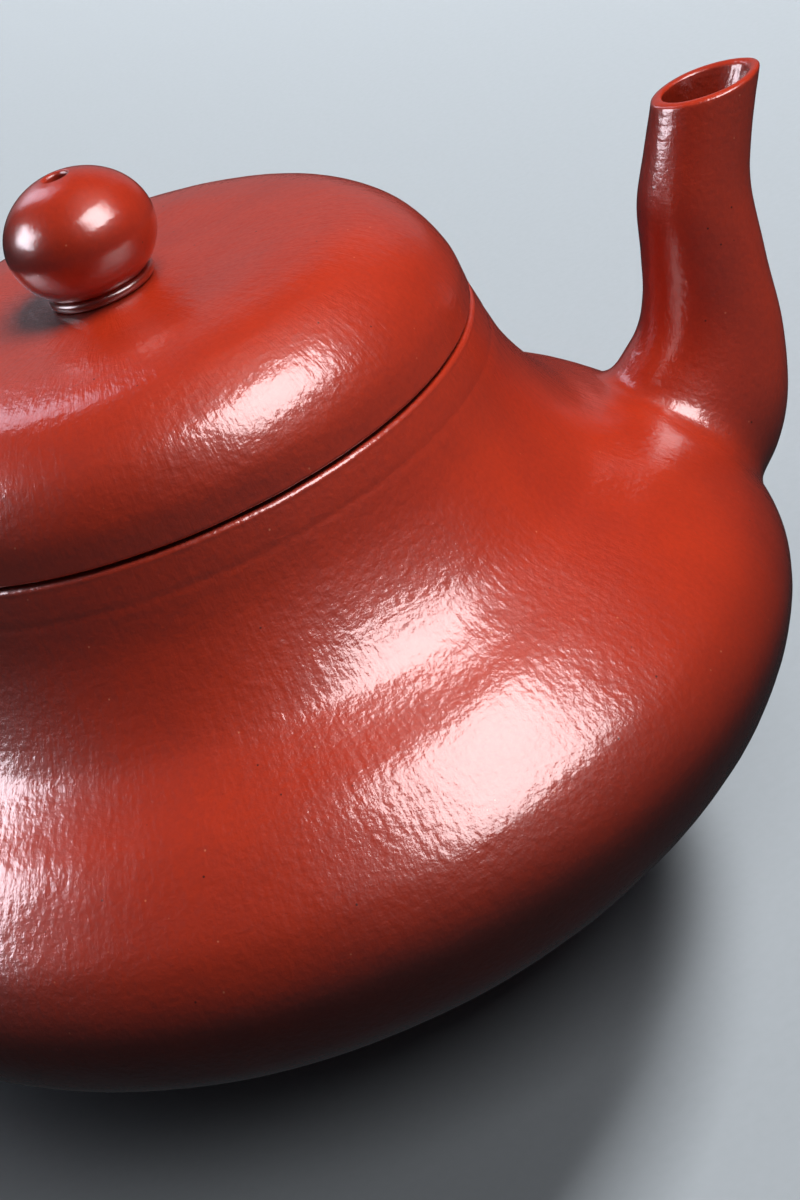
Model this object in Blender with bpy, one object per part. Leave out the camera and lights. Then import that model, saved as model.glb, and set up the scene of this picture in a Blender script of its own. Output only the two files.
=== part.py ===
"""Low round clay teapot with a lift-off lid.

The pot is modelled as the hand-built pieces that a potter lutes together: slabs, rings, a spout,
a handle and a lid. The spout points along +X, the handle along -X, and the origin is the centre
of the foot on the surface that the pot stands on. Outlines are (radius, height) pairs in mm.
"""

import math

import bmesh
import bpy
import numpy as np
from mathutils import Vector

MM = 0.001
SEGMENTS = 48  # round a turned piece
GAP = 0.3  # slip layer between neighbouring pieces
WALL = 3.0  # thickness of the pot and lid walls

# Outer line of the pot, from the edge of the base up to the lip
BASE_RADIUS = 32.9
BASE_HEIGHT = 3.6
BELLY_RADIUS = 55.2
BELLY_HEIGHT = 23.0
LIP_RADIUS = 33.1
LIP_HEIGHT = 57.2
POT_OUTLINE = (
    (BASE_RADIUS, BASE_HEIGHT),
    (38.0, 5.4),
    (43.3, 8.0),
    (48.5, 11.6),
    (53.0, 16.7),
    (BELLY_RADIUS, BELLY_HEIGHT),
    (53.3, 28.3),
    (49.9, 32.5),
    (46.3, 36.0),
    (42.4, 38.8),
    (39.2, 41.7),
    (35.1, 49.0),
    (LIP_RADIUS, LIP_HEIGHT),
)

NECK_BOTTOM = 46.0
RIM_BOTTOM = 55.2
MOUTH_RADIUS = 27.0
FOOT_OUTER = 32.0
FOOT_INNER = 28.4
EDGE_BEVEL = 0.5  # softened edges of the foot and the lid's flange
LIP_BEVEL = 0.4  # softened edge of the mouth's lip

# Outer line of the lid, from its edge over the crest to the dish round the knob
LID_CREST_RADIUS = 19.5
LID_CREST_HEIGHT = 70.0
DISH_HEIGHT = 69.5
LID_OUTLINE = (
    (33.1, LIP_HEIGHT + GAP),
    (32.5, 61.4),
    (30.2, 65.6),
    (25.6, 68.9),
    (LID_CREST_RADIUS, LID_CREST_HEIGHT),
    (12.0, 69.6),
    (6.4, DISH_HEIGHT),
    (0.0, DISH_HEIGHT),
)

PLATE_THICKNESS = 1.9
FLANGE_OUTER = 26.6
FLANGE_INNER = 24.4
FLANGE_DEPTH = 6.5

KNOB_RADIUS = 7.46
KNOB_HALF_HEIGHT = 6.3
KNOB_CENTRE_HEIGHT = 75.7
KNOB_NECK_RADIUS = 4.3
KNOB_FOOT_RADIUS = 6.0
VENT_RADIUS = 1.15
VENT_FLARE = 1.7

# Spout: (top x, top z, underside x, underside z, half width) from inside the pot to the mouth
SPOUT_REACH = 70.3
SPOUT_HEIGHT = 63.2
SPOUT_STATIONS = (
    (41.0, 32.0, 52.0, 17.5, 9.5),
    (46.2, 37.4, 58.2, 21.3, 9.0),
    (49.8, 40.6, 62.3, 26.9, 8.0),
    (51.5, 44.0, 64.5, 35.0, 6.9),
    (52.7, 48.6, 65.0, 44.0, 6.3),
    (53.9, 53.8, 65.6, 52.0, 5.8),
    (56.2, 58.6, 67.4, 57.2, 5.3),
    (58.4, SPOUT_HEIGHT, SPOUT_REACH, SPOUT_HEIGHT, 5.0),
)
SPOUT_WALL_AT_BASE = 2.6
SPOUT_WALL_AT_MOUTH = 1.2
SPOUT_SIDES = 24
SPOUT_STEPS = 16

SPOUT_HOLE_HEIGHT = 32.0
SPOUT_HOLE_RADIUS = 5.0

STRAINER_RADIUS = 6.9
STRAINER_THICKNESS = 1.3
STRAINER_SKIRT = 2.0  # straight part that reaches back into the wall before it is trimmed
STRAINER_HOLE_RADIUS = 0.85
STRAINER_ROWS = ((0.0, 1), (27.0, 6), (54.0, 12))  # (degrees from the crown, holes)

# Handle: (x, z, half thickness, half width) from inside the shoulder, over and down to the belly
HANDLE_STATIONS = (
    (-41.0, 31.0, 4.6, 5.2),
    (-43.6, 39.5, 4.2, 4.9),
    (-48.0, 47.8, 3.8, 4.6),
    (-56.5, 52.6, 3.6, 4.4),
    (-64.0, 48.6, 3.6, 4.3),
    (-66.7, 40.0, 3.6, 4.2),
    (-64.8, 30.5, 3.6, 4.2),
    (-59.8, 22.6, 3.8, 4.4),
    (-51.0, 17.6, 4.4, 5.0),
)
HANDLE_SIDES = 16
HANDLE_STEPS = 26

CLAY_RED = (0.42, 0.045, 0.018)
CLAY_INSIDE = (0.38, 0.055, 0.025)
CLAY_KNOB = (0.45, 0.05, 0.02)


def clear_scene():
    for old in list(bpy.data.objects):
        bpy.data.objects.remove(old)


# ---- lines and outlines -------------------------------------------------------------------


def smooth_line(points, per_span=20):
    """Dense points of a centripetal Catmull-Rom curve through the given points."""
    points = np.array(points, float)
    first = 2 * points[0] - points[1]
    last = 2 * points[-1] - points[-2]
    knots = np.vstack([first, points, last])
    dense = []
    for i in range(1, len(knots) - 2):
        p0, p1, p2, p3 = knots[i - 1 : i + 3]
        t1 = math.sqrt(np.linalg.norm(p1 - p0))
        t2 = t1 + math.sqrt(np.linalg.norm(p2 - p1))
        t3 = t2 + math.sqrt(np.linalg.norm(p3 - p2))
        for t in np.linspace(t1, t2, per_span, endpoint=False):
            a1 = p0 + (p1 - p0) * t / t1
            a2 = p1 + (p2 - p1) * (t - t1) / (t2 - t1)
            a3 = p2 + (p3 - p2) * (t - t2) / (t3 - t2)
            b1 = a1 + (a2 - a1) * t / t2
            b2 = a2 + (a3 - a2) * (t - t1) / (t3 - t1)
            dense.append(b1 + (b2 - b1) * (t - t1) / (t2 - t1))
    dense.append(points[-1])
    return np.array(dense)


def lengths(line):
    steps = np.linalg.norm(np.diff(line, axis=0), axis=1)
    return np.concatenate([[0.0], np.cumsum(steps)])


def at_length(line, distances, outwards=0.0):
    """Points at the given distances along a line, or beside it by a distance outwards."""
    run = lengths(line)
    if outwards:
        along = np.gradient(line, axis=0)
        along /= np.linalg.norm(along, axis=1)[:, None]
        line = line + outwards * np.column_stack([along[:, 1], -along[:, 0]])
    return np.column_stack([np.interp(distances, run, column) for column in line.T])


def length_where(line, column, value):
    """Distance along the line where one coordinate reaches a value."""
    side = line[:, column] - value
    crossing = np.nonzero(side[:-1] * side[1:] <= 0)[0][0]
    run = lengths(line)
    share = side[crossing] / (side[crossing] - side[crossing + 1])
    return run[crossing] + share * (run[crossing + 1] - run[crossing])


def wall_band(line, start, stop, steps):
    """Closed outline of a wall that lies between two distances along its outer line."""
    distances = np.linspace(start, stop, steps + 1)
    outer = at_length(line, distances)
    inner = at_length(line, distances, -WALL)
    return np.vstack([outer, inner[::-1]])


# ---- solids -------------------------------------------------------------------------------


def add_object(name, mesh_maker, colour=CLAY_RED, roughness=0.35):
    """One named object with its own clay material."""
    mesh = bpy.data.meshes.new(name)
    mesh_maker.to_mesh(mesh)
    mesh_maker.free()
    mesh.shade_smooth()
    mesh.set_sharp_from_angle(angle=math.radians(40))
    obj = bpy.data.objects.new(name, mesh)
    bpy.context.collection.objects.link(obj)
    material = bpy.data.materials.new(name + "_clay")
    material.use_nodes = True
    surface = material.node_tree.nodes["Principled BSDF"]
    surface.inputs["Base Color"].default_value = (*colour, 1.0)
    surface.inputs["Roughness"].default_value = roughness
    surface.inputs["Metallic"].default_value = 0.0
    mesh.materials.append(material)
    return obj


def spun(outline, closed=True, segments=SEGMENTS):
    """Mesh turned about Z from (radius, height) pairs in mm."""
    bm = bmesh.new()
    corners = [bm.verts.new((r * MM, 0.0, z * MM)) for r, z in outline]
    pairs = list(zip(corners, corners[1:]))
    if closed:
        pairs.append((corners[-1], corners[0]))
    edges = [bm.edges.new(pair) for pair in pairs]
    bmesh.ops.spin(
        bm,
        geom=corners + edges,
        axis=(0, 0, 1),
        cent=(0, 0, 0),
        angle=2 * math.pi,
        steps=segments,
        use_merge=True,
    )
    bmesh.ops.remove_doubles(bm, verts=bm.verts, dist=0.001 * MM)
    bmesh.ops.recalc_face_normals(bm, faces=bm.faces)
    return bm


def lofted(rings, join_ends):
    """Mesh through rings of points in mm; join_ends closes last to first, else both are capped."""
    bm = bmesh.new()
    loops = [[bm.verts.new(Vector(p) * MM) for p in ring] for ring in rings]
    pairs = list(zip(loops, loops[1:]))
    if join_ends:
        pairs.append((loops[-1], loops[0]))
    else:
        bm.faces.new(loops[0])
        bm.faces.new(loops[-1])
    for low, high in pairs:
        for i in range(len(low)):
            j = (i + 1) % len(low)
            bm.faces.new((low[i], low[j], high[j], high[i]))
    bmesh.ops.recalc_face_normals(bm, faces=bm.faces)
    return bm


def make_cutter(obj):
    obj.hide_render = True
    obj.display_type = "WIRE"
    return obj


def boolean(obj, cutter, operation="DIFFERENCE"):
    modifier = obj.modifiers.new(cutter.name, "BOOLEAN")
    modifier.operation = operation
    modifier.solver = "EXACT"
    modifier.object = cutter


# ---- pot ----------------------------------------------------------------------------------


def add_base_slab():
    """Round floor, its rim leaning back so that it fits inside the belly wall."""
    inner_radius, inner_height = at_length(POT_LINE, [0.0], -WALL)[0]
    outline = (
        (0.0, BASE_HEIGHT),
        (BASE_RADIUS - GAP, BASE_HEIGHT),
        (inner_radius - GAP, inner_height),
        (0.0, inner_height),
    )
    return add_object("base_slab", spun(outline, closed=False), CLAY_INSIDE, 0.6)


def add_foot_ring():
    top = BASE_HEIGHT - GAP
    outline = (
        (FOOT_INNER + EDGE_BEVEL, 0.0),
        (FOOT_OUTER - EDGE_BEVEL, 0.0),
        (FOOT_OUTER, EDGE_BEVEL),
        (FOOT_OUTER, top),
        (FOOT_INNER, top),
        (FOOT_INNER, EDGE_BEVEL),
    )
    return add_object("foot_ring", spun(outline))


def add_belly_wall():
    stop = length_where(POT_LINE, 1, BELLY_HEIGHT) - GAP / 2
    return add_object("belly_wall", spun(wall_band(POT_LINE, 0.0, stop, 10)))


def add_shoulder_slab(hole_cutter):
    """Concave upper slab, pierced where the spout stands."""
    start = length_where(POT_LINE, 1, BELLY_HEIGHT) + GAP / 2
    stop = length_where(POT_LINE, 1, NECK_BOTTOM) - GAP / 2
    slab = add_object("shoulder_slab", spun(wall_band(POT_LINE, start, stop, 11)))
    boolean(slab, hole_cutter)
    return slab


def add_neck_ring():
    start = length_where(POT_LINE, 1, NECK_BOTTOM) + GAP / 2
    stop = length_where(POT_LINE, 1, RIM_BOTTOM - GAP)
    outline = wall_band(POT_LINE, start, stop, 4)
    inner_top = len(outline) // 2
    outline[inner_top][1] = outline[inner_top - 1][1]
    return add_object("neck_ring", spun(outline))


def add_mouth_rim():
    """Flat ring that overhangs the neck inwards and carries the lid."""
    bottom = at_length(POT_LINE, [length_where(POT_LINE, 1, RIM_BOTTOM)])[0]
    outline = (
        (MOUTH_RADIUS, RIM_BOTTOM),
        (bottom[0], RIM_BOTTOM),
        (LIP_RADIUS, LIP_HEIGHT - LIP_BEVEL),
        (LIP_RADIUS - LIP_BEVEL, LIP_HEIGHT),
        (MOUTH_RADIUS, LIP_HEIGHT),
    )
    return add_object("mouth_rim", spun(outline))


def add_pot_envelope():
    """Solid of the whole pot grown by the slip gap, which trims what stands on its wall."""
    grown = at_length(POT_LINE, np.linspace(0, lengths(POT_LINE)[-1], 28), GAP)
    outline = [(0.0, grown[0][1]), *grown, (0.0, grown[-1][1])]
    return make_cutter(add_object("pot_envelope", spun(outline, closed=False)))


def add_cavity():
    """Space inside the shoulder and belly, short of the wall by the slip gap."""
    stop = length_where(POT_LINE, 1, NECK_BOTTOM)
    inner = at_length(POT_LINE, np.linspace(0, stop, 24), -WALL - GAP)
    outline = [(0.0, inner[0][1]), *inner, (0.0, inner[-1][1])]
    return make_cutter(add_object("pot_cavity", spun(outline, closed=False)))


# ---- spout and strainer -------------------------------------------------------------------


def spout_hole_place():
    """Centre of the spout hole on the outer wall, and the direction out of the wall."""
    run = length_where(POT_LINE, 1, SPOUT_HOLE_HEIGHT)
    radius, height = at_length(POT_LINE, [run])[0]
    out_radius, out_height = at_length(POT_LINE, [run], 1.0)[0]
    centre = Vector((radius, 0.0, height)) * MM
    return centre, Vector((out_radius - radius, 0.0, out_height - height))


def add_spout_hole_cutter():
    centre, outwards = spout_hole_place()
    bm = bmesh.new()
    bmesh.ops.create_cone(
        bm,
        cap_ends=True,
        segments=SPOUT_SIDES,
        radius1=SPOUT_HOLE_RADIUS * MM,
        radius2=SPOUT_HOLE_RADIUS * MM,
        depth=6 * WALL * MM,
    )
    cutter = make_cutter(add_object("spout_hole", bm))
    cutter.location = centre
    cutter.rotation_euler = outwards.to_track_quat("Z", "Y").to_euler()
    return cutter


def spout_ring(station, wall=0.0):
    """Ellipse between the spout's top line and its underside, made smaller by a wall."""
    top = Vector((station[0], 0.0, station[1]))
    under = Vector((station[2], 0.0, station[3]))
    centre = (top + under) / 2
    half = (under - top) / 2
    in_plane = half.normalized() * (half.length - wall)
    across = Vector((0.0, station[4] - wall, 0.0))
    turns = [2 * math.pi * i / SPOUT_SIDES for i in range(SPOUT_SIDES)]
    return [centre + in_plane * math.cos(t) + across * math.sin(t) for t in turns]


def add_spout(envelope):
    """Hollow tapering tube; its foot is trimmed to the pot's wall."""
    line = smooth_line(SPOUT_STATIONS)
    stations = at_length(line, np.linspace(0, lengths(line)[-1], SPOUT_STEPS + 1))
    walls = np.linspace(SPOUT_WALL_AT_BASE, SPOUT_WALL_AT_MOUTH, SPOUT_STEPS + 1)
    outside = [spout_ring(station) for station in stations]
    bore = [spout_ring(station, wall) for station, wall in zip(stations, walls)]
    spout = add_object("spout", lofted(outside + bore[::-1], join_ends=True))
    boolean(spout, envelope)
    return spout


def strainer_drills():
    """Pins along the ball's radii, one for each hole."""
    bm = bmesh.new()
    inner_end = STRAINER_RADIUS - 2 * STRAINER_THICKNESS
    outer_end = STRAINER_RADIUS + STRAINER_THICKNESS
    for degrees, count in STRAINER_ROWS:
        for i in range(count):
            lean = math.radians(degrees)
            turn = 2 * math.pi * i / count
            aside = math.sin(lean)
            way = Vector((aside * math.cos(turn), aside * math.sin(turn), math.cos(lean)))
            place = way.to_track_quat("Z", "Y").to_matrix().to_4x4()
            place.translation = way * (inner_end + outer_end) / 2 * MM
            bmesh.ops.create_cone(
                bm,
                cap_ends=True,
                segments=8,
                radius1=STRAINER_HOLE_RADIUS * MM,
                radius2=STRAINER_HOLE_RADIUS * MM,
                depth=(outer_end - inner_end) * MM,
                matrix=place,
            )
    return bm


def add_spout_strainer(cavity):
    """Pierced half ball inside the spout hole, bulging into the pot."""
    centre, outwards = spout_hole_place()
    inwards = -outwards
    seat = centre + inwards * WALL * MM
    crown_to_rim = np.linspace(0, math.pi / 2, 9)
    outer = [(STRAINER_RADIUS * math.sin(a), STRAINER_RADIUS * math.cos(a)) for a in crown_to_rim]
    hollow = STRAINER_RADIUS - STRAINER_THICKNESS
    inner = [(hollow * math.sin(a), hollow * math.cos(a)) for a in crown_to_rim]
    outline = [*outer, (STRAINER_RADIUS, -STRAINER_SKIRT), (hollow, -STRAINER_SKIRT), *inner[::-1]]
    strainer = add_object("spout_strainer", spun(outline, closed=False, segments=24), CLAY_INSIDE, 0.6)
    drills = make_cutter(add_object("strainer_drills", strainer_drills()))
    for piece in (strainer, drills):
        piece.location = seat
        piece.rotation_euler = inwards.to_track_quat("Z", "Y").to_euler()
    boolean(strainer, drills)
    boolean(strainer, cavity, "INTERSECT")
    return strainer


# ---- handle -------------------------------------------------------------------------------


def add_handle(envelope):
    """Solid ear of clay, thickest where it joins the wall."""
    line = smooth_line(HANDLE_STATIONS)
    stations = at_length(line, np.linspace(0, lengths(line)[-1], HANDLE_STEPS + 1))
    along = np.gradient(stations[:, :2], axis=0)
    rings = []
    for (x, z, half_thickness, half_width), (dx, dz) in zip(stations, along):
        centre = Vector((x, 0.0, z))
        sideways = Vector((dz, 0.0, -dx)).normalized() * half_thickness
        across = Vector((0.0, half_width, 0.0))
        turns = [2 * math.pi * i / HANDLE_SIDES for i in range(HANDLE_SIDES)]
        rings.append([centre + sideways * math.cos(t) + across * math.sin(t) for t in turns])
    handle = add_object("handle", lofted(rings, join_ends=False))
    boolean(handle, envelope)
    return handle


# ---- lid ----------------------------------------------------------------------------------


def add_lid_plate():
    """Flat ring under the dome; its edge follows the lid's outer line."""
    low = LIP_HEIGHT + GAP
    high = low + PLATE_THICKNESS
    edge_run = [length_where(LID_LINE, 1, z) for z in np.linspace(low, high, 3)]
    edge = at_length(LID_LINE, edge_run)
    outline = [(FLANGE_INNER, low), *edge, (FLANGE_INNER, high)]
    return add_object("lid_plate", spun(outline))


def add_lid_dome():
    """Hollow dome from the plate to the vent hole at its middle."""
    start = length_where(LID_LINE, 1, LIP_HEIGHT + 2 * GAP + PLATE_THICKNESS)
    stop = length_where(LID_LINE, 0, VENT_RADIUS)
    outline = wall_band(LID_LINE, start, stop, 13)
    inner_end = len(outline) // 2
    outline[-1][1] = outline[0][1]
    outline[inner_end][0] = VENT_RADIUS
    return add_object("lid_dome", spun(outline))


def add_lid_flange():
    top = LIP_HEIGHT
    bottom = top - FLANGE_DEPTH
    outline = (
        (FLANGE_INNER, bottom),
        (FLANGE_OUTER - EDGE_BEVEL, bottom),
        (FLANGE_OUTER, bottom + EDGE_BEVEL),
        (FLANGE_OUTER, top),
        (FLANGE_INNER, top),
    )
    return add_object("lid_flange", spun(outline), CLAY_INSIDE, 0.6)


def add_knob():
    """Flattened ball on a short flared neck, with the vent hole down its middle."""
    foot = DISH_HEIGHT + GAP
    vent_angle = math.asin(VENT_FLARE / KNOB_RADIUS)
    neck_angle = math.pi - math.asin(KNOB_NECK_RADIUS / KNOB_RADIUS)
    ball = [
        (KNOB_RADIUS * math.sin(a), KNOB_CENTRE_HEIGHT + KNOB_HALF_HEIGHT * math.cos(a))
        for a in np.linspace(vent_angle, neck_angle, 15)
    ]
    top = KNOB_CENTRE_HEIGHT + KNOB_HALF_HEIGHT
    outline = [
        (VENT_RADIUS, foot),
        (KNOB_FOOT_RADIUS, foot),
        *ball[::-1],
        (VENT_RADIUS, top - (VENT_FLARE - VENT_RADIUS)),
    ]
    return add_object("knob", spun(outline, segments=32), CLAY_KNOB, 0.25)


def parent_to_empty(name, pieces):
    empty = bpy.data.objects.new(name, None)
    bpy.context.collection.objects.link(empty)
    for piece in pieces:
        piece.parent = empty


clear_scene()
POT_LINE = smooth_line(POT_OUTLINE)
LID_LINE = smooth_line(LID_OUTLINE)
envelope = add_pot_envelope()
cavity = add_cavity()
spout_hole = add_spout_hole_cutter()
pot_pieces = [
    add_base_slab(),
    add_foot_ring(),
    add_belly_wall(),
    add_shoulder_slab(spout_hole),
    add_neck_ring(),
    add_mouth_rim(),
    add_spout(envelope),
    add_spout_strainer(cavity),
    add_handle(envelope),
]
lid_pieces = [add_lid_plate(), add_lid_dome(), add_lid_flange(), add_knob()]
parent_to_empty("pot", pot_pieces)
parent_to_empty("lid", lid_pieces)
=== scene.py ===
import math
import bmesh
import bpy
import numpy as np
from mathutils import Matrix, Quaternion, Vector


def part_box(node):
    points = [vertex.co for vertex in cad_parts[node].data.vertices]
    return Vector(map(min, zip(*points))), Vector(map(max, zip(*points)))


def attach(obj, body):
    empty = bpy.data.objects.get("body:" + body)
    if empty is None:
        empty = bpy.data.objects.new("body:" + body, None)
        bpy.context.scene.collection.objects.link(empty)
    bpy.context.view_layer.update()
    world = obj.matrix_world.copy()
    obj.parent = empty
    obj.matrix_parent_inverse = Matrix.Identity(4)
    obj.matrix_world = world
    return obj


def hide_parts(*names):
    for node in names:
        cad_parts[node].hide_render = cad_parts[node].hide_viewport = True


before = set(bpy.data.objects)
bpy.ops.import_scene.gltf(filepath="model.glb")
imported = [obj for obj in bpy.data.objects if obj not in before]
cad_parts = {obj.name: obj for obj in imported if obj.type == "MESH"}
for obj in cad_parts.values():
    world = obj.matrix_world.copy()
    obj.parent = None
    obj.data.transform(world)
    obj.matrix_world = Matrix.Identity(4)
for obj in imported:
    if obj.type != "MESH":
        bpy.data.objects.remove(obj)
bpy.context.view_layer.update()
print("frame loaded:", len(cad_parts), "pieces")

# Shapes are drawn in design millimetres, and mm turns them into the frame's metres.
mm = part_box("belly_wall")[1].y / 55.2

potShape = {
    # (radius, height) from the edge of the base over the belly and up to the lip
    "outline": ((32.9, 3.6), (38.0, 5.4), (43.3, 8.0), (48.5, 11.6), (53.0, 16.7), (55.2, 23.0),
                (53.3, 28.3), (49.9, 32.5), (46.3, 36.0), (42.4, 38.8), (39.2, 41.7), (35.1, 49.0),
                (33.1, 57.2)),
    "wall": 3.0,
    "shoulderFrom": 23.4,  # heights where the luted pieces meet
    "neckFrom": 46.0,
    "rimFrom": 55.2,
    "turns": 900,  # sides round the pot
    "grid": 0.38,  # row spacing on the outer skin
    "seamRow": 0.05,  # tight row beside a luted joint, so that neighbours shade as one
    "innerGrid": 2.2,
}
lidShape = {
    "outline": ((33.1, 57.5), (32.5, 61.4), (30.2, 65.6), (25.6, 68.9), (19.5, 70.0),
                (12.0, 69.95), (6.4, 69.95), (0.0, 69.95)),
    "edgeRounding": 0.35,
    "plateTop": 59.4,
    "flangeOuter": 26.6,
    "flangeInner": 24.4,
    "flangeBottom": 50.7,
    "turns": 720,
    "flangeRounding": 0.6,
    "flangeTurns": 360,
    "edgeGrid": 0.2,
    "innerGrid": 1.2,
    "grid": 0.4,
}


def smoothLine(points, perSpan=60):  # centripetal curve through the points
    points = np.array(points, float)
    knots = np.vstack([2 * points[0] - points[1], points, 2 * points[-1] - points[-2]])
    dense = []
    for i in range(1, len(knots) - 2):
        p0, p1, p2, p3 = knots[i - 1:i + 3]
        t1 = math.sqrt(np.linalg.norm(p1 - p0))
        t2 = t1 + math.sqrt(np.linalg.norm(p2 - p1))
        t3 = t2 + math.sqrt(np.linalg.norm(p3 - p2))
        for t in np.linspace(t1, t2, perSpan, endpoint=False):
            a1 = p0 + (p1 - p0) * t / t1
            a2 = p1 + (p2 - p1) * (t - t1) / (t2 - t1)
            a3 = p2 + (p3 - p2) * (t - t2) / (t3 - t2)
            b1 = a1 + (a2 - a1) * t / t2
            b2 = a2 + (a3 - a2) * (t - t1) / (t3 - t1)
            dense.append(b1 + (b2 - b1) * (t - t1) / (t2 - t1))
    dense.append(points[-1])
    return np.array(dense)


def runOf(line):  # distance along a line at each of its points
    return np.concatenate([[0.0], np.cumsum(np.linalg.norm(np.diff(line, axis=0), axis=1))])


def outwardOf(line):  # unit vectors to the right of the direction of travel
    along = np.gradient(line, axis=0)
    along /= np.linalg.norm(along, axis=1)[:, None]
    return np.column_stack([along[:, 1], -along[:, 0]])


def readAt(line, values, runs):
    return np.column_stack([np.interp(runs, runOf(line), column) for column in np.array(values).T])


def runWhere(line, column, value):
    side = line[:, column] - value
    crossing = np.nonzero(side[:-1] * side[1:] <= 0)[0][0]
    whole = runOf(line)
    share = side[crossing] / (side[crossing] - side[crossing + 1])
    return whole[crossing] + share * (whole[crossing + 1] - whole[crossing])


def addNode(tree, kind, inputs=None, **settings):  # one node with its settings and links
    node = tree.nodes.new(kind)
    for name, value in settings.items():
        setattr(node, name, value)
    for socket, value in (inputs or {}).items():
        if isinstance(value, bpy.types.NodeSocket):
            tree.links.new(value, node.inputs[socket])
        else:
            node.inputs[socket].default_value = value
    return node


def hexColour(code):
    parts = [int(code[i:i + 2], 16) / 255 for i in (1, 3, 5)]
    return (*[c / 12.92 if c <= 0.04045 else ((c + 0.055) / 1.055) ** 2.4 for c in parts], 1.0)


potLine = smoothLine(potShape["outline"])
lidLine = smoothLine(lidShape["outline"])
potOut = outwardOf(potLine)
shoulderRun = runWhere(potLine, 1, potShape["shoulderFrom"])
neckRun = runWhere(potLine, 1, potShape["neckFrom"])
rimRun = runWhere(potLine, 1, potShape["rimFrom"])

# Yixing stoneware: fine iron-red clay, fired unglazed after the leather-hard skin was rubbed with a
# horn tool. It gives the eye a warm red body under a waxy sheen, with tool strokes and a fine grain.
# footPaintedShade is the share of the colour kept at the foot, a painted shade that darkens the lower belly
clayFinishes = {
    "clayBurnished": {"light": "#ae3014", "dark": "#9b270f", "speck": "#c4664a", "pit": "#4c1006",
                      "footPaintedShade": 0.22, "roughness": (0.34, 0.42),
                      "coat": 1.0, "coatRoughness": 0.15, "grain": 1.0},
    "clayPolished": {"light": "#ae3014", "dark": "#9b270f", "speck": "#c4664a", "pit": "#4c1006",
                     "footPaintedShade": 1.0, "roughness": (0.30, 0.38),
                     "coat": 1.0, "coatRoughness": 0.085, "grain": 0.35},
    "clayUnburnished": {"light": "#a04026", "dark": "#86331e", "speck": "#c98a6a", "pit": "#54180c",
                        "footPaintedShade": 1.0, "roughness": (0.62, 0.74),
                        "coat": 0.0, "coatRoughness": 0.3, "grain": 1.6},
}
clayBody = {
    "clayIor": 1.52, "specularLevel": 0.42, "coatIor": 1.62,
    "cloudSize": 11.0, "fleckSize": 0.5,  # mm, of the colour's slow and quick changes
    "colourRange": (0.72, 1.28), "roughRange": (0.7, 1.3),  # of the two noises added together
    "paintedShadeHeights": (19.0, 34.0),  # mm above the foot, between which the colour is darkened towards the foot: painted shade of the lower belly
}
# sand grains 0.1 to 0.25 mm across, a few in each square centimetre: pale quartz and dark iron
sandGrains = (("speck", 1.7, 0.075, 0.30), ("pit", 2.1, 0.07, 0.35))  # (colour, cell in mm, size, share)
grainLayers = (  # (which coordinates, size in mm along each, height in mm, detail)
    ("strokes", (0.6, 0.6, 2.4), 0.030, 2.0),  # hairs left by the horn tool, up and down the wall
    ("strokes", (3.0, 3.0, 0.5), 0.014, 2.0),  # and round it
    ("place", (0.75, 0.75, 0.75), 0.058, 3.0),  # the sanded body of the clay
    ("place", (0.22, 0.22, 0.22), 0.010, 2.0),
)


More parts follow.
